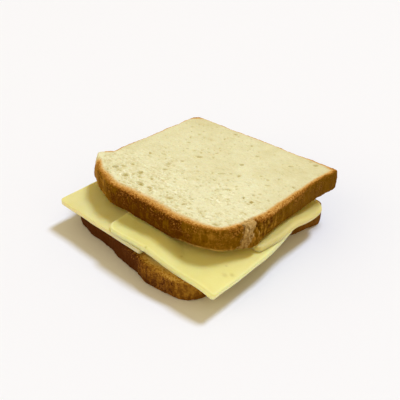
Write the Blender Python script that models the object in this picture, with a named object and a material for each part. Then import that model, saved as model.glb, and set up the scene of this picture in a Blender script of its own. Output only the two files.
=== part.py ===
# A cheese sandwich on plain white tin loaf: two slices of bread with three thin slices of
# mild yellow cheese between them, overlapping each other and hanging out past the bread.
# Metres, +Z up. It lies flat on z = 0. The loaf's domed crust faces -Y and its flat base
# crust +Y, and the origin is under the middle of the whole sandwich's bounding box.

import bmesh
import bpy
import numpy as np
from mathutils import Euler, Matrix, Vector

MM = 0.001

# Bread sizes, in millimetres
BREAD_THICKNESS = 11.5
CRUST_EDGE_RADIUS = 0.9     # where the crust turns over into the cut face
CRUST_BELLY = 0.35          # how far the middle of the crust swells outwards
OUTLINE_POINTS = 190
ARC_STEP = 0.5              # between points on a rounded corner

# Cheese sizes, in millimetres
CHEESE_THICKNESS = 2.6
CHEESE_GRID_EDGE = (0.0, 0.5, 1.3, 2.6, 4.6, 7.5)   # grid lines in from a cut edge
CHEESE_GRID_CELLS = (14, 15)    # between them, across and along a slice
GAP = 0.3                   # air left between pieces that lie on each other

# Heights of the layers, in millimetres above the table
CHEESE_ON_BREAD = BREAD_THICKNESS + GAP
CHEESE_ON_CHEESE = CHEESE_ON_BREAD + CHEESE_THICKNESS + GAP
UPPER_BREAD = CHEESE_ON_CHEESE + CHEESE_THICKNESS + 2 * GAP

# Slice outlines, seen from above: the corners of a polygon in millimetres, counterclockwise
# from the right end of the loaf's base, each with the radius that rounds it off.
UPPER_CORNERS = [
    (52.9, 47.2, 1.6),      # right end of the base, nearly sharp
    (-53.0, 46.7, 6.0),     # left end of the base
    (-52.0, 14.0, 60.0),    # slight waist in the left side
    (-52.8, -14.0, 12.0),
    (-51.8, -22.5, 3.0),
    (-58.2, -29.6, 2.2),    # left shoulder, where the dough rose over the tin
    (-41.6, -43.4, 22.0),
    (-24.0, -48.8, 22.0),
    (20.0, -48.7, 60.0),    # flat crown of the dome
    (35.0, -46.6, 25.0),
    (46.7, -40.2, 14.0),    # right shoulder, round and wide
    (50.5, -27.0, 20.0),
    (51.2, -21.5, 3.0),
    (53.1, -14.0, 8.0),
    (51.8, -2.0, 60.0),
    (51.5, 26.0, 60.0),     # slight waist in the right side
]
LOWER_CORNERS = [
    (53.4, 39.0, 6.0),
    (-51.0, 44.0, 7.0),
    (-52.0, 12.0, 60.0),
    (-53.5, -30.0, 12.0),
    (-57.0, -42.3, 4.0),    # left shoulder
    (-43.5, -55.3, 16.0),
    (-31.3, -59.5, 25.0),
    (-18.0, -59.2, 60.0),
    (22.5, -66.4, 14.0),    # crown of the dome, right of the middle
    (36.0, -64.6, 14.0),
    (46.2, -59.6, 9.0),
    (49.8, -47.5, 14.0),
    (47.3, -15.0, 60.0),
    (47.0, 10.0, 40.0),
]

# Where the upper crust leans out towards its underside: place, spread and reach in millimetres
UPPER_FLARES = [((50.0, -27.0), 9.0, 3.8), ((-53.0, -33.0), 9.5, 2.8)]

# Unevenness of the crust: cycles round the slice, size in millimetres and phase
UPPER_WAVES = [(9, 0.20, 0.4), (17, 0.14, 2.1), (31, 0.09, 4.0)]
LOWER_WAVES = [(8, 0.25, 1.3), (19, 0.20, 0.2), (33, 0.12, 3.1)]

# Open holes in the upper crumb: place, length and width in millimetres, and turn in degrees
CRUMB_HOLES = [
    (-29.0, -36.0, 5.2, 2.6, 5),
    (-13.0, -37.0, 4.6, 2.2, -10),
    (-24.0, -29.0, 3.6, 2.4, 20),
    (-37.0, -34.5, 3.8, 2.4, 30),
    (-31.0, -22.5, 3.0, 2.0, 0),
    (-5.5, -38.5, 3.6, 2.0, 15),
    (-41.5, -29.0, 3.2, 2.2, -20),
    (11.0, 15.0, 3.4, 2.0, 35),
    (33.0, -10.0, 3.0, 1.8, 0),
]
HOLE_DEPTH = 0.9

# The tear in the crust of the upper slice's right shoulder, in millimetres
TEAR_PLACE = (51.6, -22.3)
TEAR_RADIUS = 1.2
TEAR_LENGTH = 7.0


def srgb(red, green, blue):
    """Colour of the finish, from 0 to 255 a channel, as the linear values Blender uses."""
    channels = np.array([red, green, blue]) / 255.0
    linear = np.where(channels <= 0.04045, channels / 12.92, ((channels + 0.055) / 1.055) ** 2.4)
    return (*linear.tolist(), 1.0)


def make_material(name, colour, roughness):
    material = bpy.data.materials.new(name)
    material.use_nodes = True
    shader = material.node_tree.nodes["Principled BSDF"]
    shader.inputs["Base Color"].default_value = colour
    shader.inputs["Roughness"].default_value = roughness
    shader.inputs["Metallic"].default_value = 0.0
    return material


def make_object(name, vertices, faces, materials, face_materials=None):
    """A mesh object from vertices in millimetres and faces as lists of vertex numbers."""
    mesh = bpy.data.meshes.new(name)
    mesh.from_pydata((np.asarray(vertices) * MM).tolist(), [], faces)
    for material in materials:
        mesh.materials.append(material)
    if face_materials is not None:
        mesh.polygons.foreach_set("material_index", face_materials)
    mesh.shade_smooth()
    mesh.set_sharp_from_angle(angle=np.radians(40))
    mesh.update()
    thing = bpy.data.objects.new(name, mesh)
    bpy.context.scene.collection.objects.link(thing)
    return thing


def round_corner(before, corner, after, radius):
    """Points of the arc that rounds off one corner of a polygon."""
    back = (before - corner) / np.linalg.norm(before - corner)
    ahead = (after - corner) / np.linalg.norm(after - corner)
    half_angle = 0.5 * np.arccos(np.clip(back @ ahead, -1, 1))
    middle = (back + ahead) / np.linalg.norm(back + ahead)
    reach = min(radius / np.tan(half_angle), 0.45 * min(
        np.linalg.norm(before - corner), np.linalg.norm(after - corner)))
    radius = reach * np.tan(half_angle)
    centre = corner + middle * radius / np.sin(half_angle)
    first = corner + back * reach - centre
    last = corner + ahead * reach - centre
    turn = np.pi - 2 * half_angle
    count = max(2, int(np.ceil(radius * turn / ARC_STEP)))
    share = np.linspace(0, 1, count + 1)[:, None]
    arc = (np.sin((1 - share) * turn) * first + np.sin(share * turn) * last) / np.sin(turn)
    return centre + arc


def slice_outline(corners, waves):
    """Even points round a slice, and the outward direction at each of them."""
    points = [np.array(corner[:2]) for corner in corners]
    count = len(points)
    rounded = np.concatenate([
        round_corner(points[i - 1], points[i], points[(i + 1) % count], corners[i][2])
        for i in range(count)])
    closed = np.vstack([rounded, rounded[:1]])
    lengths = np.linalg.norm(np.diff(closed, axis=0), axis=1)
    along = np.concatenate([[0], np.cumsum(lengths)])
    places = np.linspace(0, along[-1], OUTLINE_POINTS, endpoint=False)
    outline = np.stack([np.interp(places, along, closed[:, k]) for k in (0, 1)], axis=1)
    ahead = np.roll(outline, -1, axis=0) - np.roll(outline, 1, axis=0)
    outward = np.stack([ahead[:, 1], -ahead[:, 0]], axis=1)
    outward /= np.linalg.norm(outward, axis=1, keepdims=True)
    angle = 2 * np.pi * places / along[-1]
    swell = sum(size * np.sin(cycles * angle + phase) for cycles, size, phase in waves)
    return outline + outward * swell[:, None], outward


def make_slice(name, corners, waves, floor, materials, flares=()):
    """A slice of bread: its outline carried up the crust, closed by two cut faces."""
    outline, outward = slice_outline(corners, waves)
    flare = np.zeros(len(outline))
    for place, spread, reach in flares:
        distance = np.linalg.norm(outline - np.array(place), axis=1)
        flare += reach * np.exp(-(distance / spread) ** 2)
    radius = CRUST_EDGE_RADIUS
    top = BREAD_THICKNESS
    rows = [                # how far in from the outline, and how high
        (radius, 0.0),
        (0.3 * radius, 0.3 * radius),
        (0.0, radius),
        (-CRUST_BELLY, 0.5 * top),
        (0.0, top - radius),
        (0.3 * radius, top - 0.3 * radius),
        (radius, top),
    ]
    levels = []
    for inset, height in rows:
        out = flare * (1 - height / top) - inset
        ring = outline + outward * out[:, None]
        levels.append(np.column_stack([ring, np.full(len(outline), floor + height)]))
    vertices = np.concatenate(levels)
    count = len(outline)
    faces = []
    for row in range(len(rows) - 1):
        low = row * count
        high = low + count
        for i in range(count):
            following = (i + 1) % count
            faces.append([low + i, low + following, high + following, high + i])
    crust_faces = len(faces)
    faces.append(list(range(count))[::-1])
    faces.append(list(range((len(rows) - 1) * count, len(rows) * count)))
    face_materials = [0] * crust_faces + [1, 1]
    return make_object(name, vertices, faces, materials, face_materials)


def smooth_step(value, start, end):
    """0 before start, 1 after end, and an easy curve between them."""
    share = np.clip((value - start) / (end - start), 0, 1)
    return share * share * (3 - 2 * share)


def grid_lines(length, cells):
    """Grid places along one side of a cheese slice, closer together at its two ends."""
    edge = np.array(CHEESE_GRID_EDGE)
    inner = np.linspace(edge[-1], length - edge[-1], cells)[1:-1]
    return np.concatenate([edge, inner, length - edge[::-1]])


def round_sheet_corners(u, v, length, width, radii):
    """Pull the grid points near a rectangle's corners in onto its rounded corners."""
    right = u > length / 2
    far = v > width / 2
    radius = np.choose(right + 2 * far, [radii[0], radii[1], radii[3], radii[2]])
    from_side = np.where(right, length - u, u)
    from_front = np.where(far, width - v, v)
    over_u = np.maximum(radius - from_side, 0)
    over_v = np.maximum(radius - from_front, 0)
    shrink = np.maximum(over_u, over_v) / np.maximum(np.hypot(over_u, over_v), 1e-9)
    from_side = np.where(over_u > 0, radius - over_u * shrink, from_side)
    from_front = np.where(over_v > 0, radius - over_v * shrink, from_front)
    return np.where(right, length - from_side, from_side), np.where(
        far, width - from_front, from_front)


def cheese_place(corners, across, along):
    """The point, seen from above, at a share of the way across and along a cheese slice."""
    front_left, front_right, back_right, back_left = (np.array(c[:2]) for c in corners)
    across = across[..., None]
    along = along[..., None]
    front = front_left + (front_right - front_left) * across
    back = back_left + (back_right - back_left) * across
    return front + (back - front) * along


def make_cheese(name, corners, height, material):
    """A thin slice of cheese: a bent grid with an equal one above it and a wall between."""
    places = np.array([corner[:2] for corner in corners])
    length = np.linalg.norm(places[1] - places[0])
    width = np.linalg.norm(places[2] - places[1])
    across, along = CHEESE_GRID_CELLS
    u, v = np.meshgrid(grid_lines(length, across), grid_lines(width, along), indexing="ij")
    u, v = round_sheet_corners(u, v, length, width, [corner[2] for corner in corners])
    plan = cheese_place(corners, u / length, v / width)
    base = np.dstack([plan, height(plan[..., 0], plan[..., 1])])
    normal = np.cross(np.gradient(base, axis=0), np.gradient(base, axis=1))
    normal /= np.linalg.norm(normal, axis=-1, keepdims=True)
    upper = base + normal * CHEESE_THICKNESS
    rows, columns = u.shape
    vertices = np.concatenate([base.reshape(-1, 3), upper.reshape(-1, 3)])
    number = np.arange(rows * columns).reshape(rows, columns)
    above = rows * columns
    faces = []
    for i in range(rows - 1):
        for j in range(columns - 1):
            cell = [number[i, j], number[i + 1, j], number[i + 1, j + 1], number[i, j + 1]]
            faces.append([int(corner) for corner in cell[::-1]])
            faces.append([int(corner) + above for corner in cell])
    rim = np.concatenate([number[:-1, 0], number[-1, :-1], number[:0:-1, -1], number[0, :0:-1]])
    for i, here in enumerate(rim):
        following = int(rim[(i + 1) % len(rim)])
        faces.append([int(here), following, following + above, int(here) + above])
    return make_object(name, vertices, faces, [material])


# Each slice of cheese, seen from above: its front left, front right, back right and back left
# corners in millimetres, each with the radius that rounds it, and a height for every point

# The left slice lies on the bread, and its outer corner curls up a little
LEFT_CHEESE = [(-51.6, -62.3, 2.4), (13.6, -63.1, 1.2), (13.8, 30.0, 2.0), (-56.5, 29.0, 3.0)]
LEFT_CURL = 0.3
LEFT_CURL_X = (-34.0, -54.0)    # the curl grows from none to all of it between these
LEFT_CURL_Y = (10.0, -50.0)


def left_height(x, y):
    curl = smooth_step(x, *LEFT_CURL_X) * smooth_step(y, *LEFT_CURL_Y)
    return CHEESE_ON_BREAD + LEFT_CURL * curl


# The front slice starts on top of the left one, comes down to the bread past its edge and
# hangs over the bread's right side and front corner
FRONT_CHEESE = [(-12.4, -62.9, 7.0), (58.7, -61.2, 2.0), (57.0, 4.0, 6.0), (-14.0, 1.0, 3.0)]
FRONT_DROP_START = 14.6
FRONT_DROP_LENGTH = 24.0    # at the front edge, where no bread presses it down
INNER_DROP_LENGTH = 7.0
PRESSED_FROM = (-58.0, -40.0)   # the upper slice's weight comes in between these
OVERHANG_START = 45.0
OVERHANG_DROOP = 0.012      # millimetres for each square millimetre of overhang
OVERHANG_HELD = 0.8         # the share of it that the upper slice holds up
OVERHANG_HELD_FROM = (-45.0, 2.0)


def overhang_droop(x, y):
    """How far the cheese hangs down past the bread's right side, most at the front corner."""
    freedom = 1 - OVERHANG_HELD * smooth_step(y, *OVERHANG_HELD_FROM)
    return OVERHANG_DROOP * freedom * np.maximum(x - OVERHANG_START, 0) ** 2


def front_height(x, y):
    pressed = smooth_step(y, *PRESSED_FROM)
    length = FRONT_DROP_LENGTH + (INNER_DROP_LENGTH - FRONT_DROP_LENGTH) * pressed
    drop = (CHEESE_THICKNESS + GAP) * smooth_step(x, FRONT_DROP_START, FRONT_DROP_START + length)
    return CHEESE_ON_CHEESE - drop - overhang_droop(x, y)


# The right slice lies on the front one and comes down behind it, where its outer edge bends
RIGHT_CHEESE = [(23.0, -24.5, 2.0), (55.3, -25.0, 3.0), (55.9, 34.0, 7.0), (23.0, 35.0, 2.0)]
RIGHT_DROP = 0.8 * (CHEESE_THICKNESS + GAP)
RIGHT_DROP_Y = (3.0, 24.0)
RIGHT_EDGE_START = 50.0
RIGHT_EDGE_BEND = 0.025
RIGHT_EDGE_BEND_Y = (2.0, 16.0)


def right_height(x, y):
    drop = RIGHT_DROP * smooth_step(y, *RIGHT_DROP_Y)
    past_edge = np.maximum(x - RIGHT_EDGE_START, 0)
    bend = RIGHT_EDGE_BEND * past_edge ** 2 * smooth_step(y, *RIGHT_EDGE_BEND_Y)
    return CHEESE_ON_CHEESE - drop - bend - overhang_droop(x, y)


def make_hole_cutter():
    """One low ellipsoid for each open hole, halfway into the upper slice's top face."""
    top = UPPER_BREAD + BREAD_THICKNESS
    holes = bmesh.new()
    for x, y, length, width, turn in CRUMB_HOLES:
        place = Matrix.Translation(Vector((x, y, top)))
        spin = Euler((0, 0, np.radians(turn))).to_matrix().to_4x4()
        size = Matrix.Diagonal((length / 2, width / 2, HOLE_DEPTH, 1))
        bmesh.ops.create_icosphere(holes, subdivisions=2, radius=1.0, matrix=place @ spin @ size)
    tear = Matrix.Translation((*TEAR_PLACE, top - TEAR_LENGTH / 2 + 1))
    bmesh.ops.create_cone(holes, cap_ends=True, segments=8, radius1=TEAR_RADIUS * 0.5,
                          radius2=TEAR_RADIUS, depth=TEAR_LENGTH + 2, matrix=tear)
    bmesh.ops.scale(holes, vec=(MM, MM, MM), verts=holes.verts)
    mesh = bpy.data.meshes.new("hole_cutter")
    holes.to_mesh(mesh)
    holes.free()
    cutter = bpy.data.objects.new("hole_cutter", mesh)
    bpy.context.scene.collection.objects.link(cutter)
    cutter.hide_render = True
    cutter.display_type = "WIRE"
    return cutter


def centre_over_origin(things, followers):
    """Shift everything so that the bounding box stands centred on the origin."""
    corners = np.array([vertex.co[:] for thing in things for vertex in thing.data.vertices])
    low = corners.min(axis=0)
    high = corners.max(axis=0)
    shift = Vector((-(low[0] + high[0]) / 2, -(low[1] + high[1]) / 2, -low[2]))
    for thing in [*things, *followers]:
        thing.data.transform(Matrix.Translation(shift))
        thing.data.update()


def main():
    for thing in list(bpy.data.objects):
        bpy.data.objects.remove(thing, do_unlink=True)
    crust = make_material("crust", srgb(112, 66, 10), 0.75)
    crumb = make_material("crumb", srgb(233, 225, 172), 0.9)
    lower_crust = make_material("lower_crust", srgb(88, 50, 20), 0.75)
    cheese = {
        "left": make_material("cheese_left", srgb(235, 223, 147), 0.4),
        "front": make_material("cheese_front", srgb(239, 231, 145), 0.4),
        "right": make_material("cheese_right", srgb(224, 213, 137), 0.4),
    }
    lower = make_slice("lower_slice", LOWER_CORNERS, LOWER_WAVES, 0.0, [lower_crust, crumb])
    left = make_cheese("cheese_left", LEFT_CHEESE, left_height, cheese["left"])
    front = make_cheese("cheese_front", FRONT_CHEESE, front_height, cheese["front"])
    right = make_cheese("cheese_right", RIGHT_CHEESE, right_height, cheese["right"])
    upper = make_slice("upper_slice", UPPER_CORNERS, UPPER_WAVES, UPPER_BREAD, [crust, crumb],
                       UPPER_FLARES)
    cutter = make_hole_cutter()
    holes = upper.modifiers.new("holes", "BOOLEAN")
    holes.operation = "DIFFERENCE"
    holes.solver = "EXACT"
    holes.object = cutter
    centre_over_origin([lower, left, front, right, upper], [cutter])


main()
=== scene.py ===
# A cheese sandwich on white tin loaf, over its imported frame. Metres, +Z up. The loaf's dome
# faces -Y and its base +Y. Sizes in the dictionaries are millimetres from the upper slice's
# middle.

import bpy
import numpy as np
from mathutils import Matrix, Vector


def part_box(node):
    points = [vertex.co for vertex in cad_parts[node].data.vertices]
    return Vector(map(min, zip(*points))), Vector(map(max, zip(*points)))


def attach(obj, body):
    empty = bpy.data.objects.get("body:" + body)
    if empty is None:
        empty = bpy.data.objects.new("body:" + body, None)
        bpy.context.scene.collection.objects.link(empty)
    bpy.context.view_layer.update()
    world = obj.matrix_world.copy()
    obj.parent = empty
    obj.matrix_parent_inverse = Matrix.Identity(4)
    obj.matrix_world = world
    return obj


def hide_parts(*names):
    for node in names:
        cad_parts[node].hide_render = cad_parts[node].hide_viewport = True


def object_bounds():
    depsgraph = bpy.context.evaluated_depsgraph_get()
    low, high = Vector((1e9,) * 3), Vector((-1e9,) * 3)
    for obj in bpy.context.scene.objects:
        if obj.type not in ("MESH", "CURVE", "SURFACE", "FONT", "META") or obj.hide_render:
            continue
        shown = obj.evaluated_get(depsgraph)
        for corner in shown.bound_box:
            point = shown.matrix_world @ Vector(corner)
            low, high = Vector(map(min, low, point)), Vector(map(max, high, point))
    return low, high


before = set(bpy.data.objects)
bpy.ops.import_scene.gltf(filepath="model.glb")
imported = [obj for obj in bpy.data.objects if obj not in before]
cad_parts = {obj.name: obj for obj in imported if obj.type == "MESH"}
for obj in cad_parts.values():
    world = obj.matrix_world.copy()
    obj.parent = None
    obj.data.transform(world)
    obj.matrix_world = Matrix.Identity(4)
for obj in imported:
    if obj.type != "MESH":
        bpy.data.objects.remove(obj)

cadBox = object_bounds()
mm = 0.001
print("frame loaded:", ", ".join(sorted(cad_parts)))


# Small helpers on whole arrays

def easeStep(value, start, end):
    # 0 before start, 1 after end, and an easy curve between them
    share = np.clip((value - start) / (end - start), 0, 1)
    return share * share * (3 - 2 * share)


def readTable(table, place):
    # straight lines between a list of (place, value) pairs
    places, values = np.array(table, float).T
    return np.interp(place, places, values)


def srgb(red, green, blue):
    # 0 to 255 a channel, as the linear values that shaders use
    channels = np.array([red, green, blue]) / 255.0
    linear = np.where(channels <= 0.04045, channels / 12.92, ((channels + 0.055) / 1.055) ** 2.4)
    return (*linear.tolist(), 1.0)


# Value noise: random numbers from -1 to 1 on a cubic lattice of this cell size, blended
# between the eight corners round each point by smooth steps.
def latticeNoise(points, cell, seed):
    side = 24
    lattice = np.random.default_rng(seed).uniform(-1, 1, (side, side, side))
    scaled = points / cell
    low = np.floor(scaled).astype(int)
    share = scaled - low
    share = share * share * (3 - 2 * share)
    total = np.zeros(len(points))
    for corner in np.ndindex(2, 2, 2):
        weight = np.prod(np.where(np.array(corner) == 1, share, 1 - share), axis=1)
        i, j, k = ((low + np.array(corner)) % side).T
        total += weight * lattice[i, j, k]
    return total


# the sum of several layers of value noise, each a cell size and a strength
def layeredNoise(points, layers, seed, seedStep=0):
    return sum(size * latticeNoise(points, cell, seed + number * seedStep)
               for number, (cell, size) in enumerate(layers))


def softSpot(x, y, middleX, middleY, radius):
    # 1 in the middle, fading evenly all round
    return np.exp(-((x - middleX) ** 2 + (y - middleY) ** 2) / radius ** 2)


def turnedPlace(x, y, middleX, middleY, turn):
    # along and across an axis turned about a middle
    x, y = x - middleX, y - middleY
    return np.cos(turn) * x + np.sin(turn) * y, np.cos(turn) * y - np.sin(turn) * x


# Open pores: a jittered grid with at most one bowl in each cell, each bowl an ellipse turned
# roughly along the dough's grain. Gives how deep each place lies in its bowl, from 0 to 1.
def poreBowls(x, y, kind):
    side = 64
    random = np.random.default_rng(kind["seed"])
    offset = random.uniform(0.1, 0.9, (side, side, 2))
    radius = random.uniform(*kind["radius"], (side, side))
    stretch = random.uniform(*kind["stretch"], (side, side))
    turn = np.radians(random.normal(kind["turn"], kind["spread"], (side, side)))
    chance = random.uniform(0, 1, (side, side))
    cell = kind["cell"]
    column, row = (np.floor(value / cell).astype(int) for value in (x, y))
    deepest = np.zeros(len(x))
    for stepX, stepY in np.ndindex(3, 3):
        i, j = column + stepX - 1, row + stepY - 1
        own = (i % side, j % side)
        middleX = (i + offset[own][:, 0]) * cell
        middleY = (j + offset[own][:, 1]) * cell
        along, aside = turnedPlace(x, y, middleX, middleY, turn[own])
        far = (along / (radius[own] * stretch[own])) ** 2 + (aside / radius[own]) ** 2
        middle = np.column_stack([middleX, middleY, 0 * middleX])
        crowd = latticeNoise(middle, kind["crowdSize"], kind["crowdSeed"])
        wanted = readTable(kind["share"], middleY) * np.clip(1 + kind["crowding"] * crowd, 0, 3)
        present = chance[own] < wanted
        deepest = np.maximum(deepest, np.where(present, np.clip(1 - far, 0, 1), 0))
    return deepest


# Shapes

# A closed outline: a polygon whose corners are rounded by arcs, sampled at even steps on each
# of the four stretches between its anchor corners. Gives its points and their outward normals.
def roundedLoop(corners, anchors, cells, waves=()):
    points = [np.array(corner[:2], float) for corner in corners]
    arcs = []
    for number, corner in enumerate(points):
        back = points[number - 1] - corner
        ahead = points[(number + 1) % len(points)] - corner
        backLength, aheadLength = np.linalg.norm(back), np.linalg.norm(ahead)
        back, ahead = back / backLength, ahead / aheadLength
        halfAngle = 0.5 * np.arccos(np.clip(back @ ahead, -1, 1))
        limit = 0.45 * min(backLength, aheadLength)
        reach = min(corners[number][2] / np.tan(halfAngle), limit)
        radius = reach * np.tan(halfAngle)
        inwards = (back + ahead) / np.linalg.norm(back + ahead)
        middle = corner + inwards * radius / np.sin(halfAngle)
        turn = np.pi - 2 * halfAngle
        share = np.linspace(0, 1, max(3, int(radius * turn / 0.2) + 1))[:, None]
        first = corner + back * reach - middle
        last = corner + ahead * reach - middle
        arc = np.sin((1 - share) * turn) * first + np.sin(share * turn) * last
        arcs.append(middle + arc / np.sin(turn))
    rounded = np.concatenate(arcs)
    closed = np.vstack([rounded, rounded[:1]])
    lengths = np.linalg.norm(np.diff(closed, axis=0), axis=1)
    walked = np.concatenate([[0], np.cumsum(lengths)])
    starts = [walked[np.argmin(np.linalg.norm(rounded - points[a], axis=1))] for a in anchors]
    starts.append(starts[0] + walked[-1])
    places = np.concatenate([np.linspace(starts[k], starts[k + 1], cells, endpoint=False)
                             for k in range(4)]) % walked[-1]
    loop = np.stack([np.interp(places, walked, closed[:, k]) for k in (0, 1)], axis=1)
    ahead = np.roll(loop, -2, axis=0) - np.roll(loop, 2, axis=0)
    outward = np.stack([ahead[:, 1], -ahead[:, 0]], axis=1)
    outward /= np.linalg.norm(outward, axis=1, keepdims=True)
    angle = 2 * np.pi * places / walked[-1]
    swell = 0 * angle + sum(size * np.sin(cycles * angle + phase) for cycles, size, phase in waves)
    return loop + outward * swell[:, None], outward


# The inside of a closed ring as square rings of points that shrink towards its middle. Gives
# the inner points, each one's place round the ring from 0 to 4, and the grid of numbers.
def fillRing(ring, cells, ringStart, innerStart):
    line = np.linspace(-1, 1, cells + 1)
    across, back = np.meshgrid(line, line, indexing="ij")
    level = np.maximum(np.abs(across), np.abs(back))
    a, b = across / np.maximum(level, 1e-9), back / np.maximum(level, 1e-9)
    place = np.select([b >= 1, a <= -1, b <= -1],
                      [(1 - a) / 2, 1 + (1 - b) / 2, 2 + (1 + a) / 2], 3 + (1 + b) / 2)
    step = place * cells
    before = np.floor(step).astype(int)
    share = (step - before)[..., None]
    onRing = ring[before % len(ring)] * (1 - share) + ring[(before + 1) % len(ring)] * share
    middle = (ring.min(axis=0) + ring.max(axis=0)) / 2
    inner = level < 1 - 1e-9
    number = np.zeros(across.shape, int)
    number[~inner] = ringStart + np.round(step[~inner]).astype(int) % len(ring)
    number[inner] = innerStart + np.arange(inner.sum())
    points = middle + (onRing - middle) * level[..., None]
    return points[inner], place[inner] % 4, number


def gridQuads(number):
    return np.stack([number[:-1, :-1], number[1:, :-1], number[1:, 1:], number[:-1, 1:]],
                    axis=-1).reshape(-1, 4)


# A slab with a rounded edge: its outline carried down a profile of rows, each an inset, a
# height and the two parts of its normal, then closed by a fine cap above and a coarse one
# below. A flare pushes the outline out towards the underside. All as arrays by vertex.
def slab(loop, outward, rows, flare, cells, coarseInset=0.7):
    count = len(loop)
    thickness = rows[:, 1].max()
    out = flare * (1 - rows[:, 1:2] / thickness) - rows[:, :1]
    rings = loop + outward * out[..., None]
    wall = np.dstack([rings, np.broadcast_to(rows[:, 1:2], out.shape)]).reshape(-1, 3)
    sideways = outward[None] * rows[:, 2, None, None]
    push = np.dstack([sideways, np.broadcast_to(rows[:, 3:4], out.shape)]).reshape(-1, 3)
    place = np.tile(np.arange(count) / cells, len(rows))
    rim = np.repeat(rows[:, 0], count)
    topStart = len(wall)
    topPlan, topPlace, topNumber = fillRing(rings[0], cells, 0, topStart)
    coarseStart = topStart + len(topPlan)
    coarse = rings[-1][::2] - outward[::2] * coarseInset
    lowPlan, lowPlace, lowNumber = fillRing(coarse, cells // 2, coarseStart,
                                            coarseStart + len(coarse))
    lowPlan = np.vstack([coarse, lowPlan])
    lowPlace = np.concatenate([np.arange(len(coarse)) * 2 / cells, lowPlace])

    def level(plan, height):
        return np.column_stack([plan, np.full(len(plan), height)])

    points = np.vstack([wall, level(topPlan, rows[0, 1]), level(lowPlan, rows[-1, 1])])
    push = np.vstack([push, level(0 * topPlan, 1.0), level(0 * lowPlan, -1.0)])
    place = np.concatenate([place, topPlace, lowPlace])
    rim = np.concatenate([rim, rimDistance(topPlan, rings[0]) + rows[0, 0],
                          rimDistance(lowPlan, rings[-1]) + rows[-1, 0]])
    across = np.arange(count)
    down = np.arange(len(rows) - 1)[:, None] * count
    nextAcross = (across + 1) % count
    walls = np.stack([down + across, down + count + across, down + count + nextAcross,
                      down + nextAcross], axis=-1).reshape(-1, 4)
    half = np.arange(count // 2)
    last = (len(rows) - 1) * count
    seam = np.stack([coarseStart + half, coarseStart + (half + 1) % len(half),
                     last + (2 * half + 2) % count, last + 2 * half + 1, last + 2 * half], axis=-1)
    faces = [walls, gridQuads(topNumber), gridQuads(lowNumber)[:, ::-1], seam]
    return {"points": points, "push": push, "place": place, "rim": rim, "faces": faces,
            "flat": np.abs(push[:, 2]) > 0.999}


def rimDistance(plan, ring):
    # from each point of a cap to the nearest point of the ring round it, in blocks
    size = 4000
    squares = [((plan[start:start + size, None, :] - ring[None]) ** 2).sum(axis=2).min(axis=1)
               for start in range(0, len(plan), size)]
    return np.sqrt(np.concatenate(squares))


# The profile of a slab's edge from its upper face down: a quarter round, a wall that swells
# by the belly in the middle, and a quarter round below.
def edgeRows(thickness, radius, lowRadius, belly, arcSteps, wallSteps):
    turn = np.linspace(0, np.pi / 2, arcSteps + 1)
    sine, cosine = np.sin(turn), np.cos(turn)
    upper = np.column_stack([radius * (1 - sine), thickness - radius * (1 - cosine), sine, cosine])
    share = np.linspace(0, 1, wallSteps + 1)[1:-1]
    height = thickness - radius - (thickness - radius - lowRadius) * share
    swelling = -belly * np.sin(np.pi * share)
    wall = np.column_stack([swelling, height, np.ones(len(share)), 0 * share])
    lower = np.column_stack([lowRadius * (1 - sine), lowRadius * (1 - cosine), sine, -cosine])
    return np.vstack([upper, wall, lower[::-1]])


def addObject(name, data):
    made = bpy.data.objects.new(name, data)
    bpy.context.scene.collection.objects.link(made)
    return made


def meshPiece(name, points, faces, attributes, material, node):
    # no piece reaches past the CAD model's own box
    points = np.clip(points, *(np.array(corner) / mm for corner in cadBox))
    mesh = bpy.data.meshes.new(name)
    mesh.vertices.add(len(points))
    mesh.vertices.foreach_set("co", (points * mm).astype(np.float32).ravel())
    corners = np.concatenate([group.ravel() for group in faces])
    sizes = np.concatenate([np.full(len(group), group.shape[1]) for group in faces])
    mesh.loops.add(len(corners))
    mesh.loops.foreach_set("vertex_index", corners.astype(np.int32))
    mesh.polygons.add(len(sizes))
    starts = np.concatenate([[0], np.cumsum(sizes)[:-1]])
    mesh.polygons.foreach_set("loop_start", starts.astype(np.int32))
    mesh.update(calc_edges=True)
    mesh.shade_smooth()
    for label, values in attributes.items():
        layer = mesh.attributes.new(label, "FLOAT", "POINT")
        layer.data.foreach_set("value", np.asarray(values, np.float32))
    mesh.materials.append(material)
    piece = addObject(name, mesh)
    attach(piece, "root")
    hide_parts(node)
    print(f"{name}: {len(points)} points, {sum(len(group) for group in faces)} faces")


# Node helpers

def addNode(tree, kind, inputs=None, **settings):
    node = tree.nodes.new(kind)
    for key, value in settings.items():
        setattr(node, key, value)
    for key, value in (inputs or {}).items():
        if isinstance(value, bpy.types.NodeSocket):
            tree.links.new(value, node.inputs[key])
        else:
            node.inputs[key].default_value = value
    return node


def mathNode(tree, operation, first, second=0.0, clamp=False):
    return addNode(tree, "ShaderNodeMath", {0: first, 1: second}, operation=operation,
                   use_clamp=clamp).outputs[0]


def times(tree, first, second, clamp=False):
    return mathNode(tree, "MULTIPLY", first, second, clamp)


def plus(tree, first, second, clamp=False):
    return mathNode(tree, "ADD", first, second, clamp)


def weighed(tree, *parts):
    # the sum of some values, each times its weight
    total = times(tree, *parts[0])
    for part in parts[1:]:
        total = plus(tree, total, times(tree, *part))
    return total


def swing(tree, noise, size):
    # noise moved to lie about zero and made this strong
    return times(tree, mathNode(tree, "SUBTRACT", noise, 0.5), size)


def blendColours(tree, share, first, second):
    return addNode(tree, "ShaderNodeMix", {0: share, 6: first, 7: second},
                   data_type="RGBA").outputs[2]


def mapRange(tree, value, start, end, low=0.0, high=1.0):
    return addNode(tree, "ShaderNodeMapRange", {0: value, 1: start, 2: end, 3: low, 4: high},
                   interpolation_type="SMOOTHSTEP").outputs[0]


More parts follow.
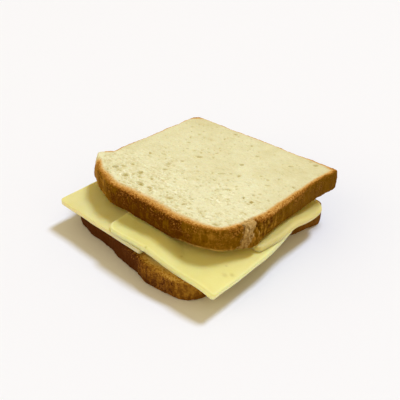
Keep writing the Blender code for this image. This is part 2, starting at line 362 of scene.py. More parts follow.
def noiseNode(tree, scale, detail=2.0, roughness=0.5, place=None):
    source = place or addNode(tree, "ShaderNodeTexCoord").outputs["Object"]
    return addNode(tree, "ShaderNodeTexNoise", {"Vector": source, "Scale": scale, "Detail": detail,
                                                "Roughness": roughness}).outputs["Fac"]


# A node group that takes these colours and values and gives a colour and a height
def newGroup(name, colours, values):
    group = bpy.data.node_groups.new(name, "ShaderNodeTree")
    sockets = [(label, "INPUT", "NodeSocketColor") for label in colours]
    sockets += [(label, "INPUT", "NodeSocketFloat") for label in values]
    sockets += [("Color", "OUTPUT", "NodeSocketColor"), ("Height", "OUTPUT", "NodeSocketFloat")]
    for label, side, kind in sockets:
        group.interface.new_socket(label, in_out=side, socket_type=kind)
    given = addNode(group, "NodeGroupInput").outputs
    return group, given, addNode(group, "NodeGroupOutput").inputs


def useGroup(tree, group, inputs):
    return addNode(tree, "ShaderNodeGroup", inputs, node_tree=group).outputs


def newMaterial(name):
    material = bpy.data.materials.new(name)
    material.use_nodes = True
    return material, material.node_tree


def attributeNode(tree, label):
    return addNode(tree, "ShaderNodeAttribute", attribute_name=label).outputs["Fac"]


# Crumb: fine pale foam in soft tan patches, with light flecks, painted darker and browner in its
# pores as painted shade.
# The scales are in cells a metre, and each pair is the noise values between which it grows.
crumbGrain = {
    "middleScale": 260, "fineScale": 800, "speckScale": 1500, "patches": (0.38, 0.66),
    "strandScale": 330, "strandTurn": -0.45, "strandSqueeze": 2.4,
    "clumpScale": 130, "clumps": (0.4, 0.62), "clumpSize": (0.15, 1.6),
    "specks": (0.56, 0.7), "paleStrands": (0.53, 0.66), "dullStrands": (0.46, 0.32),
    "dullShare": 0.4, "poreRagged": 0.5,
}


def makeCrumbGroup():
    group, given, made = newGroup("crumbTone", ("Pale", "Tan", "Fleck", "Deep"),
                                  ("Pore", "Tone", "Mottle"))
    look = crumbGrain
    middle = noiseNode(group, look["middleScale"], 3, 0.6)
    fine = noiseNode(group, look["fineScale"], 3, 0.6)
    speck = noiseNode(group, look["speckScale"], 2, 0.6)
    along = addNode(group, "ShaderNodeMapping", {
        "Vector": addNode(group, "ShaderNodeTexCoord").outputs["Object"],
        "Rotation": (0.0, 0.0, look["strandTurn"]),
        "Scale": (1.0, look["strandSqueeze"], 1.0)}).outputs[0]
    strand = noiseNode(group, look["strandScale"], 4, 0.62, along)
    clump = noiseNode(group, look["clumpScale"], 2, 0.6)
    clump = mapRange(group, clump, *look["clumps"], *look["clumpSize"])
    clump = times(group, clump, given["Mottle"])
    mixed = weighed(group, (middle, 0.5), (fine, 0.5))
    patch = times(group, mapRange(group, mixed, *look["patches"], -0.5, 0.5), given["Mottle"])
    tan = plus(group, given["Tone"], patch, clamp=True)
    colour = blendColours(group, tan, given["Pale"], given["Tan"])
    paleness = mathNode(group, "SUBTRACT", 1.0, given["Tone"], clamp=True)
    bright = times(group, mapRange(group, speck, *look["specks"]), paleness)
    strands = times(group, mapRange(group, strand, *look["paleStrands"]), paleness)
    strands = times(group, strands, clump, clamp=True)
    bright = mathNode(group, "MAXIMUM", bright, strands)
    colour = blendColours(group, bright, colour, given["Fleck"])
    dull = times(group, mapRange(group, strand, *look["dullStrands"]), clump)
    colour = blendColours(group, times(group, dull, look["dullShare"]), colour, given["Deep"])
    # pores and holes blend towards the deep colour as painted shade in their bowls
    deep = plus(group, given["Pore"], swing(group, fine, look["poreRagged"]))
    deep = times(group, mapRange(group, deep, 0.1, 1.0), mapRange(group, given["Pore"], 0.0, 0.1))
    group.links.new(blendColours(group, deep, colour, given["Deep"]), made["Color"])
    group.links.new(weighed(group, (fine, 0.6), (speck, 0.4)), made["Height"])
    return group


# Crust: from golden to dark chocolate by its bake value, how hard it was baked and on the lower
# slice also painted shade and painted light, with upright streaks from the tin, dark pits and
# rust-coloured specks
crustGrain = {
    "broadScale": 110, "mottledScale": 300, "fineScale": 750, "streakScale": 480,
    "grainScale": 1250, "streakSqueeze": 0.15, "broadShare": 0.3, "fineShare": 0.22,
    "mottledShare": 0.2, "streakShare": 0.28, "contrast": 5.5, "speckPatches": 0.5,
    "specks": (0.56, 0.67), "pits": (0.43, 0.3), "pitColour": (46, 20, 4),
}


def makeCrustGroup():
    group, given, made = newGroup("crustTone", ("Golden", "Brown", "Dark", "Speck"),
                                  ("Bake", "Unevenness", "Specks"))
    look = crustGrain
    place = addNode(group, "ShaderNodeTexCoord").outputs["Object"]
    upright = addNode(group, "ShaderNodeVectorMath", {
        0: place, 1: (1.0, 1.0, look["streakSqueeze"])}, operation="MULTIPLY").outputs[0]
    broad = noiseNode(group, look["broadScale"], 3, 0.6)
    mottled = noiseNode(group, look["mottledScale"], 2, 0.6)
    fine = noiseNode(group, look["fineScale"], 3, 0.7)
    streak = noiseNode(group, look["streakScale"], 3, 0.6, upright)
    grain = noiseNode(group, look["grainScale"], 2, 0.7)
    shift = weighed(group, (broad, look["broadShare"]), (fine, look["fineShare"]),
                    (mottled, look["mottledShare"]), (streak, look["streakShare"]))
    shift = times(group, swing(group, shift, look["contrast"]), given["Unevenness"])
    bake = plus(group, given["Bake"], shift, clamp=True)
    light = blendColours(group, mapRange(group, bake, 0.0, 0.5), given["Golden"], given["Brown"])
    colour = blendColours(group, mapRange(group, bake, 0.5, 1.0), light, given["Dark"])
    speck = plus(group, grain, swing(group, broad, look["speckPatches"]))
    speck = times(group, mapRange(group, speck, *look["specks"]), given["Specks"])
    colour = blendColours(group, speck, colour, given["Speck"])
    pit = times(group, mapRange(group, grain, *look["pits"]), given["Specks"])
    colour = blendColours(group, pit, colour, srgb(*look["pitColour"]))
    group.links.new(colour, made["Color"])
    group.links.new(weighed(group, (grain, 0.5), (streak, 0.5)), made["Height"])
    return group


# Cheese: smooth and faintly cloudy, paler where the knife cut it, and its cut faces and a band
# along the upper edge brightened further as painted light glowing through the cut
cheeseGrain = {"cloudScale": 55, "clouds": (0.35, 0.7), "fineScale": 1300, "cutRagged": 0.3}


def makeCheeseGroup():
    group, given, made = newGroup("cheeseTone", ("Face", "Cloud", "Edge", "Stain", "Under"),
                                  ("Cut", "Mark", "Low"))
    look = cheeseGrain
    cloud = mapRange(group, noiseNode(group, look["cloudScale"], 3, 0.55), *look["clouds"])
    fine = noiseNode(group, look["fineScale"], 2, 0.5)
    face = blendColours(group, cloud, given["Face"], given["Cloud"])
    cutShare = plus(group, given["Cut"], swing(group, fine, look["cutRagged"]), clamp=True)
    colour = blendColours(group, cutShare, face, given["Edge"])
    colour = blendColours(group, given["Low"], colour, given["Under"])
    colour = blendColours(group, given["Mark"], colour, given["Stain"])
    group.links.new(colour, made["Color"])
    group.links.new(fine, made["Height"])
    return group


crumbGroup = makeCrumbGroup()
crustGroup = makeCrustGroup()
cheeseGroup = makeCheeseGroup()


def finishShader(tree, colour, height, look):
    shader = tree.nodes["Principled BSDF"]
    tree.links.new(colour, shader.inputs["Base Color"])
    bump = addNode(tree, "ShaderNodeBump", {"Strength": look["bumpStrength"],
                                            "Distance": look["bumpDepth"] * mm, "Height": height})
    tree.links.new(bump.outputs["Normal"], shader.inputs["Normal"])
    shader.inputs["Specular IOR Level"].default_value = look["gloss"]
    shader.inputs["Subsurface Weight"].default_value = look["subsurface"]
    shader.inputs["Subsurface Radius"].default_value = look["glowColour"]
    shader.inputs["Subsurface Scale"].default_value = look["glowDepth"] * mm
    return shader


def breadMaterial(name, look):
    material, tree = newMaterial(name)

    def inputs(kind, labels, **values):
        tones = {label: srgb(*look[kind + label]) for label in labels}
        return {**tones, **{key: attributeNode(tree, value) for key, value in values.items()}}

    crumbLabels = ("Pale", "Tan", "Fleck", "Deep")
    crumb = useGroup(tree, crumbGroup, inputs(
        "crumb", crumbLabels, Pore="poreShade", Tone="tone", Mottle="mottle"))
    crust = useGroup(tree, crustGroup, inputs(
        "crust", ("Golden", "Brown", "Dark", "Speck"), Bake="bake", Unevenness="uneven",
        Specks="specks"))
    # the burst's pores take the groove's painted shade as their darkness
    burst = useGroup(tree, crumbGroup, {
        **inputs("burst", crumbLabels, Pore="groove", Tone="tone"),
        "Mottle": look["burstMottle"]})
    grain = noiseNode(tree, look["rimGrainScale"], 3, 0.65)
    rimShare = attributeNode(tree, "rimShare")
    ragged = mapRange(tree, rimShare, *look["raggedFrom"], 0.0, look["ragged"])
    rim = plus(tree, rimShare, swing(tree, grain, ragged))
    softRim = plus(tree, rimShare, swing(tree, grain, look["softRagged"]))
    toGold = mapRange(tree, softRim, *look["goldFrom"], 1.0, 0.0)
    toRust = mapRange(tree, rim, *look["rustFrom"], 1.0, 0.0)
    toCrust = mapRange(tree, rim, *look["crustFrom"], 1.0, 0.0)
    gold = blendColours(tree, toRust, srgb(*look["rimGold"]), srgb(*look["rimRust"]))
    colour = blendColours(tree, toGold, crumb["Color"], gold)
    colour = blendColours(tree, toCrust, colour, crust["Color"])
    edge = swing(tree, noiseNode(tree, look["burstEdgeScale"], 3, 0.7), look["burstRagged"])
    burstPlace = attributeNode(tree, "burst")
    burstShare = mapRange(tree, plus(tree, burstPlace, edge), *look["burstFrom"])
    burstShare = times(tree, burstShare, mapRange(tree, burstPlace, *look["burstLimit"]))
    colour = blendColours(tree, burstShare, colour, burst["Color"])
    colour = blendColours(tree, attributeNode(tree, "torn"), colour, srgb(*look["tornEdge"]))
    height = blendColours(tree, toCrust, crumb["Height"], crust["Height"])
    shader = finishShader(tree, colour, height, look)
    rough = mapRange(tree, toCrust, 0.0, 1.0, look["crumbRoughness"], look["crustRoughness"])
    tree.links.new(rough, shader.inputs["Roughness"])
    return material


def cheeseMaterial(name, look):
    material, tree = newMaterial(name)
    colours = ("Face", "Cloud", "Edge", "Stain", "Under")
    tone = useGroup(tree, cheeseGroup, {
        **{label: srgb(*look[label.lower()]) for label in colours},
        **{label: attributeNode(tree, label.lower()) for label in ("Cut", "Mark", "Low")}})
    shader = finishShader(tree, tone["Color"], tone["Height"], look)
    shader.inputs["Roughness"].default_value = look["roughness"]
    return material


# Bread

breadLook = {
    "crumbPale": (232, 226, 180), "crumbTan": (215, 204, 150), "crumbFleck": (246, 242, 202),
    "crumbDeep": (190, 172, 104), "crustGolden": (168, 119, 38), "crustSpeck": (198, 138, 64),
    "tornEdge": (202, 166, 92),
    "burstPale": (192, 154, 90), "burstTan": (122, 84, 28), "burstFleck": (226, 196, 136),
    "burstDeep": (58, 30, 6), "burstMottle": 1.0, "burstEdgeScale": 420, "burstRagged": 2.4,
    "burstFrom": (0.3, 0.7), "burstLimit": (0.02, 0.3),
    # over which shares of the rim's width it turns to gold, to rust and to crust
    "goldFrom": (0.7, 1.45), "rustFrom": (0.25, 0.9), "crustFrom": (0.05, 0.4),
    "rimGrainScale": 1000, "ragged": 1.9, "raggedFrom": (-0.05, 0.3), "softRagged": 0.5,
    "crumbRoughness": 0.9, "crustRoughness": 0.7, "gloss": 0.02,
    "bumpStrength": 0.7, "bumpDepth": 0.3,
    "subsurface": 0.15, "glowColour": (1.0, 0.7, 0.35), "glowDepth": 1.5,
}

sliceLook = {
    "thickness": 11.5, "edgeRadius": 0.9, "belly": 0.35, "cells": 230,
    "arcSteps": 5, "wallSteps": 16,
    # cell and size of each layer of unevenness, and the limits that all of it stays within
    "crumbNoise": [(1.0, 0.11), (2.6, 0.12)],
    "crustNoise": [(0.9, 0.15), (1.9, 0.15), (5.0, 0.18)], "limits": (-2.0, 0.45),
    "crumbSink": 0.28, "rimBlend": (0.5, 3.5), "rimUneven": 0.4,
    "pores": [
        {"seed": 11, "cell": 7.0, "radius": (0.6, 1.3), "stretch": (1.1, 2.6), "turn": 20,
         "spread": 30, "share": [(-45, 0.35), (-20, 0.18), (10, 0.07), (45, 0.05)],
         "depth": 0.6, "dark": 0.8, "crowdSeed": 77, "crowdSize": 15.0, "crowding": 1.6},
        {"seed": 12, "cell": 3.1, "radius": (0.4, 0.8), "stretch": (1.0, 2.2), "turn": 20,
         "spread": 35, "share": [(-45, 0.4), (-20, 0.2), (10, 0.08), (45, 0.05)],
         "depth": 0.4, "dark": 0.7, "crowdSeed": 77, "crowdSize": 12.0, "crowding": 2.2},
        {"seed": 13, "cell": 1.8, "radius": (0.35, 0.55), "stretch": (1.0, 1.8), "turn": 20,
         "spread": 40, "share": [(-45, 0.4), (-20, 0.25), (10, 0.1), (45, 0.06)],
         "depth": 0.25, "dark": 0.6, "crowdSeed": 77, "crowdSize": 9.0, "crowding": 2.0},
    ],
    "poreRim": (1.2, 3.5), "undersideAway": 300.0, "seedAway": 90,
    # the larger holes: their ragged outline, their bowls and their raised lips
    "holeRagged": 0.45, "raggedCell": 0.9, "holeReach": 1.75, "holeDepth": 1.25,
    "holeShade": 0.85, "lipMiddle": 1.5, "lipWidth": 0.5, "lipHeight": 0.4,
    "domeStart": (1.8, 2.3), "domeEnd": (-3.4, -2.9), "rollHeight": 4,
    "bakeNoise": [(9.0, 0.12)], "paintedLitHeight": (4.5, 10.0),
    "tornSoft": (0.04, 0.03), "tornHeight": (-1.3, -0.7), "tornShare": 0.7,
    "tornNoise": [(1.3, 0.5)],
    "speckShare": (0.3, 0.7), "speckHeight": (5.5, 10.5), "speckNoise": [(4.0, 0.5)],
    # how strongly the crumb is marbled, by place from the dome (-) to the base (+)
    "mottle": [(-45, 1.15), (-22, 1.05), (-5, 0.4), (20, 0.26), (45, 0.26)],
    # the tan of the crumb: its average, then soft spots as x, y, radius and size
    "tanShare": 0.42, "tanNoise": [(13.0, 0.13), (4.5, 0.2)],
    "tanSpots": [(2, 8, 13, 0.15), (-46, -5, 14, 0.15), (42, 36, 16, 0.3), (15, 44, 14, 0.15),
                 (48, 10, 9, 0.25), (-40, 40, 14, 0.25), (22, -18, 18, -0.35), (-5, -34, 20, -0.2),
                 (30, 0, 10, -0.25)],
    # the burst's tan at its top, what its foot adds, and the heights that adds over
    "burstTone": 0.2, "footTone": 0.5, "footHeight": (-10.5, -4.0), "burstGrowth": 1.4,
}

upperBread = {
    "node": "upper_slice", "slot": "upper_bread", "floor": 17.9, "seed": 3,
    "corners": [            # the outline from above, each corner with its rounding radius
        (52.9, 47.2, 1.6), (-53.0, 46.7, 6.0), (-52.0, 14.0, 60.0), (-52.8, -14.0, 12.0),
        (-51.8, -22.5, 3.0), (-58.2, -29.6, 2.2), (-41.6, -43.4, 22.0), (-24.0, -48.8, 22.0),
        (20.0, -48.7, 60.0), (35.0, -46.6, 25.0), (46.7, -40.2, 14.0), (50.5, -27.0, 20.0),
        (51.2, -21.5, 3.0), (53.1, -14.0, 8.0), (51.8, -2.0, 60.0), (51.5, 26.0, 60.0),
    ],
    "anchors": (0, 1, 5, 10),       # the corners that the grid's own corners lie at
    "waves": [(9, 0.20, 0.4), (17, 0.14, 2.1), (31, 0.09, 4.0)],
    "flares": [((50.0, -27.0), 9.0, 3.8), ((-53.0, -33.0), 9.5, 2.8)],
    # by place round the slice: 0 base's right end, 1 its left end, 2 and 3 the shoulders
    "rimWidth": [(0, 3.0), (0.06, 1.6), (0.3, 1.0), (0.94, 1.0), (1.0, 2.6), (1.08, 1.0),
                 (1.8, 1.0), (1.96, 1.5), (2.1, 2.2), (2.25, 4.2), (2.6, 5.8), (2.85, 4.6),
                 (3.0, 3.2), (3.12, 3.4), (3.5, 2.6), (3.9, 2.4), (4.0, 3.0)],
    "bake": [(0, 0.6), (0.5, 0.7), (1, 0.7), (1.9, 0.5), (2.0, 0.1), (2.16, 0.15), (2.3, 0.5),
             (2.38, 0.78), (2.45, 1.0), (2.7, 1.0), (2.8, 0.85), (2.87, 0.5), (2.97, 0.4),
             (3.1, 0.5), (3.5, 0.6), (3.8, 0.62), (4, 0.5)],
    "specks": [(0, 0.2), (1.9, 0.2), (2.2, 0.6), (2.6, 0.8), (2.8, 0.85),
               (2.9, 0.65), (3.0, 0.65), (3.1, 0.8), (3.5, 0.5), (4, 0.3)],
    "uneven": [(0, 0.4), (2.2, 0.8), (2.7, 0.85), (2.85, 0.65), (3.0, 0.6), (3.18, 1.0),
               (3.24, 1.7), (3.32, 1.3), (3.4, 0.8), (3.5, 0.55), (3.62, 0.4), (4, 0.4)],
    "paintedLitTop": [(0, 0), (4, 0)],
    "crustBrown": (119, 80, 0), "crustDark": (91, 49, 1),
    "rimRust": (156, 98, 28), "rimGold": (214, 162, 84),
    "rollDepth": 0.5, "rollWidth": 4.0,
    "tornLine": (2.79, 3.05),
    # where the crust's upper part is pale: place, spread, strength and heights
    "paleTop": [(2.02, 0.09, 1.6, 5.0, 9.5), (3.4, 0.3, 0.62, 8.8, 11.2)],
    "burstSpan": (-29.2, -21.6),
    "holes": [              # place, length, width, turn in degrees, depth and darkness
        (-26.3, -36.5, 4.6, 3.0, 15, 0.8, 0.9), (-13.7, -37.2, 5.2, 2.4, -5, 0.9, 0.9),
        (-22.6, -29.1, 3.4, 2.6, 20, 0.8, 0.9), (-37.2, -34.2, 3.6, 2.0, 30, 0.8, 0.8),
        (-34.7, -30.4, 4.4, 1.8, 10, 0.6, 0.7), (-32.6, -25.7, 3.0, 1.8, 0, 0.6, 0.7),
        (-7.5, -36.4, 3.2, 1.8, 15, 0.6, 0.8), (-7.5, -26.9, 2.4, 1.6, 0, 0.5, 0.6),
        (-29.3, 15.0, 2.8, 1.6, 25, 0.4, 0.6), (-29.1, -5.6, 3.6, 1.4, 15, 0.4, 0.5),
        (-17.8, -14.0, 4.0, 1.2, 10, 0.3, 0.5), (11.1, 15.3, 2.6, 1.9, 35, 0.7, 0.95),
        (9.7, 0.2, 5.0, 1.4, 40, 0.5, 0.6), (21.7, -10.9, 5.0, 1.3, 40, 0.5, 0.6),
        (33.6, -10.7, 1.6, 1.4, 0, 0.9, 1.3), (39.1, -11.6, 2.6, 1.8, 30, 0.8, 1.1),
        (36.9, -13.0, 1.4, 1.2, 0, 0.7, 1.0), (-12.2, 13.7, 2.0, 1.4, 0, 0.4, 0.6),
        (-5.3, 10.3, 1.6, 1.2, 0, 0.4, 0.7), (-5.3, -3.3, 2.0, 1.2, 0, 0.4, 0.7),
        (17.1, -34.9, 1.6, 1.2, 0, 0.6, 0.9), (15.7, -29.8, 2.6, 1.6, 20, 0.4, 0.5),
        (31.7, 32.6, 3.0, 1.6, 30, 0.5, 0.6), (35.1, 7.1, 3.2, 1.4, 30, 0.4, 0.5),
    ],
}

lowerBread = {
    "node": "lower_slice", "slot": "lower_bread", "floor": 0.0, "seed": 7,
    "corners": [
        (53.4, 39.0, 6.0), (-51.0, 44.0, 7.0), (-52.0, 12.0, 60.0), (-53.5, -30.0, 12.0),
        (-57.0, -42.3, 4.0), (-43.5, -55.3, 16.0), (-31.3, -59.5, 25.0), (-18.0, -59.2, 60.0),
        (22.5, -66.4, 14.0), (36.0, -64.6, 14.0), (46.2, -59.6, 9.0), (49.8, -47.5, 14.0),
        (47.3, -15.0, 60.0), (47.0, 10.0, 40.0),
    ],
    "anchors": (0, 1, 4, 10),
    "waves": [(8, 0.25, 1.3), (19, 0.20, 0.2), (33, 0.12, 3.1)],
    "flares": [],
    "rimWidth": [(0, 2.2), (0.1, 1.6), (0.9, 1.6), (1.0, 2.2), (1.8, 1.8), (2.0, 3.5), (2.2, 6.0),
                 (2.55, 7.0), (2.65, 5.8), (2.78, 4.8), (3.0, 4.0), (3.2, 2.4), (4.0, 2.2)],
    # the crust is darkest under the left cheese's overhang, partly its own darker crust and partly
    # painted shade from that overhang
    "bake": [(0, 0.8), (1, 0.7), (1.9, 0.9), (2.0, 1.15), (2.6, 1.1), (2.68, 1.02), (2.74, 0.86),
             (2.8, 0.63), (2.87, 0.53), (2.95, 0.47), (3.05, 0.38), (3.15, 0.45), (3.3, 0.56),
             (4, 0.58)],
    "specks": [(0, 0.15), (2.0, 0.1), (2.6, 0.15), (2.7, 0.9), (3.1, 0.9), (3.3, 0.2), (4, 0.15)],
    "uneven": [(0, 0.4), (2.0, 0.2), (2.6, 0.25), (2.7, 0.9), (2.8, 1.1), (3.0, 1.0), (3.2, 0.7),
               (4, 0.4)],
    # the upper wall right of the left cheese is made lighter as painted light
    "paintedLitTop": [(0, 0), (2.6, 0), (2.72, 0.05), (2.8, 0.08), (2.88, 0.15), (3.05, 0.12),
                (3.15, 0), (4, 0)],
    "crustBrown": (128, 82, 20), "crustDark": (82, 41, 10),
    "rimRust": (182, 134, 48), "rimGold": (214, 178, 96),
    "rollDepth": 0.6, "rollWidth": 5.0,
    "tornLine": None, "burstSpan": None, "paleTop": [(2.93, 0.12, 0.42, 9.4, 11.3)],
    "holes": [],
}


# The dough burst at the right shoulder: a rough floury band down the crust between a crease
# and an upright groove, with lumps beside the groove and at its foot
burstLook = {
    "leftLean": 0.5, "rightLean": 0.8, "softness": 1.7, "sunk": 0.3, "shareFrom": (46.0, 48.5),
    "roughness": 0.2, "grains": [(0.7, 1.0), (0.6, 0.5)],
    "creaseDepth": 0.5, "creaseWidth": 0.5, "creaseFrom": (44.0, 47.0), "creaseShade": 0.7,
    "grooveY": -21.6, "grooveWidth": 0.55, "grooveDepth": 1.5, "grooveFrom": (47.5, 49.5),
    "grooveHeight": (5.5, 7.0), "hollowShade": 0.45, "deepestShade": 1.2, "lumpShare": 0.45,
    # the lumps: x, y, height, radius and size
    "lumps": [(53.1, -23.1, 5.4, 1.5, 0.9), (50.6, -27.0, 4.5, 1.4, 0.6),
              (50.2, -31.0, 3.6, 1.6, 0.6)],
}


# How much of each place belongs to the burst, how much painted shade it gets in its groove, its
# crease and the hollows of its relief, and how far the crust moves out there
def burstShape(own, points, seed):
    if not own["burstSpan"]:
        return np.zeros((3, len(points)))
    look = burstLook
    x, y, height = points.T
    below = sliceLook["thickness"] - height
    left, right = own["burstSpan"]
    left = left - look["leftLean"] * below
    right = right - look["rightLean"] * below
    soft = look["softness"]
    share = easeStep(y, left - soft, left + soft) * easeStep(-y, -right - soft, -right + soft)
    share *= easeStep(x, *look["shareFrom"])
    crease = np.exp(-((y - left) / look["creaseWidth"]) ** 2) * easeStep(x, *look["creaseFrom"])
    groove = np.exp(-((y - look["grooveY"]) / look["grooveWidth"]) ** 2)
    groove *= easeStep(x, *look["grooveFrom"])
    groove *= easeStep(height, *look["grooveHeight"])
    rough = layeredNoise(points, look["grains"], seed + 40, 1)
    out = share * (look["roughness"] * rough - look["sunk"])
    out -= look["creaseDepth"] * crease + look["grooveDepth"] * groove
    for middleX, middleY, middleZ, radius, size in look["lumps"]:
        far = (x - middleX) ** 2 + (y - middleY) ** 2 + (height - middleZ) ** 2
        lump = np.exp(-far / radius ** 2)
        out += size * lump
        share = np.maximum(share, look["lumpShare"] * lump)
    # the groove, the crease and the hollows of the rough band are painted darker as painted shade
    dark = groove + look["creaseShade"] * crease - look["hollowShade"] * rough * share
    return share, np.clip(dark, 0, look["deepestShade"]), out


# The pores and larger holes of the cut faces: how deep they are, how dark their painted shade is,
# and the holes' lips
def crumbOpenings(own, shape):
    look, points = sliceLook, shape["points"]
    x, y = points[:, 0], points[:, 1]
    crumbShare = np.where(shape["flat"], easeStep(shape["rim"], *look["poreRim"]), 0)
    upward = shape["push"][:, 2]
    # the underside has pores of its own
    away = np.where(upward > 0, 0.0, look["undersideAway"])
    drop, poreShade, lip = np.zeros((3, len(points)))
    for kind in look["pores"]:
        bowl = poreBowls(x + away + look["seedAway"] * own["seed"], y, kind) * crumbShare
        drop = np.maximum(drop, bowl * kind["depth"])
        poreShade = np.maximum(poreShade, bowl * kind["dark"])
    onTop = np.where(upward > 0.999, 1, 0)
    ragged = look["holeRagged"] * latticeNoise(points, look["raggedCell"], 60)
    reach = look["holeReach"]
    for *middle, length, width, turn, depth, dark in own["holes"]:
        along, aside = turnedPlace(x, y, *middle, np.radians(turn))
        far = (reach * along / length) ** 2 + (reach * aside / width) ** 2
        ring = np.exp(-((far - look["lipMiddle"]) / look["lipWidth"]) ** 2)
        bowl = np.sqrt(np.clip(1 - far + ragged, 0, 1) * onTop)
        lip = np.maximum(lip, depth * ring * onTop)
        drop = np.maximum(drop, depth * bowl)
        poreShade = np.maximum(poreShade, look["holeShade"] * dark * bowl)
    return drop, poreShade, lip


# The thin pale line torn along the foot of the crust
def tornShare(own, shape, seeded):
    if not own["tornLine"]:
        return np.zeros(len(seeded))
    look, place = sliceLook, shape["place"]
    start, end = own["tornLine"]
    soft, endSoft = look["tornSoft"]
    torn = easeStep(place, start - soft, start + soft)
    torn = torn * easeStep(-place, -end - endSoft, -end + endSoft)
    torn *= easeStep(-shape["points"][:, 2], *look["tornHeight"]) * ~shape["flat"]
    noise = layeredNoise(seeded, look["tornNoise"], 55)
    return torn * np.clip(look["tornShare"] + noise, 0, 1)


def breadPiece(name, own, shift):
    look = sliceLook
    thickness, seed = look["thickness"], own["seed"]
    loop, outward = roundedLoop(own["corners"], own["anchors"], look["cells"], own["waves"])
    flare = np.zeros(len(loop))
    for middle, spread, reach in own["flares"]:
        flare += reach * np.exp(-(np.linalg.norm(loop - np.array(middle), axis=1) / spread) ** 2)
    rows = edgeRows(thickness, look["edgeRadius"], look["edgeRadius"], look["belly"],
                    look["arcSteps"], look["wallSteps"])
    shape = slab(loop, outward, rows, flare, look["cells"])
    points, push, place, rim = (shape[key] for key in ("points", "push", "place", "rim"))
    if shift is None:
        low, high = (np.array(corner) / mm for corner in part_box(own["node"]))
        shift = (low + high - points.min(axis=0) - points.max(axis=0))[:2] / 2
    x, y, height = points.T
    seeded = points + (0, 0, 40 * seed)
    drop, poreShade, lip = crumbOpenings(own, shape)
    rough = layeredNoise(seeded, look["crumbNoise"], seed, 1)
    lumps = layeredNoise(seeded, look["crustNoise"], seed + 10, 1)
    crumb = rough - look["holeDepth"] * drop - look["crumbSink"] + look["lipHeight"] * lip
    inner = easeStep(rim, *look["rimBlend"])
    crumb = crumb * inner + lumps * look["rimUneven"] * (1 - inner)
    out = np.clip(np.where(shape["flat"], crumb, lumps), *look["limits"])
    burst, groove, tear = burstShape(own, points, seed)
    out += tear
    # the dome's cut rim rolls down a little
    dome = easeStep(place, *look["domeStart"]) * easeStep(-place, *look["domeEnd"])
    roll = own["rollDepth"] * dome * np.clip(1 - rim / own["rollWidth"], 0, 1) ** 2
    roll *= easeStep(height, thickness - look["rollHeight"], thickness)
    moved = points + push * out[:, None]
    moved[:, 2] += own["floor"] - roll
    moved[:, :2] += shift
    # no part of the underside sinks below its own floor
    moved[:, 2] = np.maximum(moved[:, 2], own["floor"])
    bake = readTable(own["bake"], place) + layeredNoise(seeded, look["bakeNoise"], seed + 20)
    # the wall is painted lighter towards its top where that table says, as painted light on the
    # upper wall
    bake -= readTable(own["paintedLitTop"], place) * easeStep(height, *look["paintedLitHeight"])
    rimShare = rim / readTable(own["rimWidth"], place)
    for middle, spread, reach, start, end in own["paleTop"]:
        pale = reach * np.exp(-((place - middle) / spread) ** 2) * easeStep(height, start, end)
        rimShare = np.maximum(rimShare, pale)
    least, more = look["speckShare"]
    patches = least + more * easeStep(height, *look["speckHeight"])
    patches = np.clip(patches + layeredNoise(seeded, look["speckNoise"], 56), 0, 1)
    tone = look["tanShare"] + layeredNoise(seeded, look["tanNoise"], seed + 30)
    for *middle, radius, size in look["tanSpots"]:
        tone += size * softSpot(x, y, *middle, radius)
    # the holes' raised lips are painted paler, a painted highlight on their rims
    tone -= lip
    inBurst = np.clip(look["burstGrowth"] * burst, 0, 1)
    foot = look["footTone"] * easeStep(-height, *look["footHeight"])
    tone = tone * (1 - inBurst) + inBurst * (look["burstTone"] + foot)
    attributes = {
        "rimShare": rimShare, "bake": bake, "poreShade": poreShade, "burst": burst, "groove": groove,
        "tone": np.clip(tone, 0, 1), "torn": tornShare(own, shape, seeded),
        "specks": readTable(own["specks"], place) * patches,
        "mottle": readTable(look["mottle"], y), "uneven": readTable(own["uneven"], place),
    }
    material = breadMaterial(name, {**breadLook, **own})
    meshPiece(name, moved, shape["faces"], attributes, material, own["node"])
    return shift


shift = breadPiece("upper_bread", upperBread, None)
breadPiece("lower_bread", lowerBread, shift)
print("bread made, frame shift", shift.round(2))


# Cheese

cheeseLook = {
    "roughness": 0.5, "gloss": 0.12, "bumpStrength": 0.15, "bumpDepth": 0.1,
    "subsurface": 0.75, "glowColour": (1.0, 0.8, 0.3), "glowDepth": 5.0,
    "stain": (176, 160, 66), "under": (214, 184, 134),
}

cheeseSheet = {
    "thickness": 2.6, "lowRadius": 0.25, "cells": 150, "arcSteps": 5, "wallSteps": 5,
    "onBread": 11.8, "onCheese": 14.7, "gap": 0.3,
    "edgeWaves": [(4.0, 0.10), (11.0, 0.14)], "faceWaves": [(7.0, 0.04), (19.0, 0.05)],
    "inset": 0.1, "seedAway": 50.0, "upperFrom": (0.3, 0.9), "slopeStep": 0.05,
    # where the cut edge's and the lower edge's colours begin, by slope, depth and height
    "cutSlope": (-0.85, -0.2), "cutDepth": (-1.6, -0.6), "lowHeight": (-0.6, -0.15),
}

# The left slice lies on the bread, and its outer corner curls up a little
leftCheese = {
    "node": "cheese_left", "slot": "cheese_left", "seed": 31,
    # back right, back left, front left and front right corners, each with its radius
    "corners": [(13.8, 30.0, 2.0), (-56.5, 29.0, 3.0), (-51.6, -62.3, 2.4), (13.6, -63.1, 1.2)],
    "curl": 0.3, "curlX": (-34.0, -54.0), "curlY": (10.0, -50.0), "edgeRadius": 0.35, "extra": 0.0,
    "paleAndLitBand": 0.0, "paleAndLitWidth": 1.0, "underShare": 0.4,
    "face": (228, 220, 150), "cloud": (222, 211, 136), "edge": (240, 224, 172),
    "bumps": [], "marks": [],
}

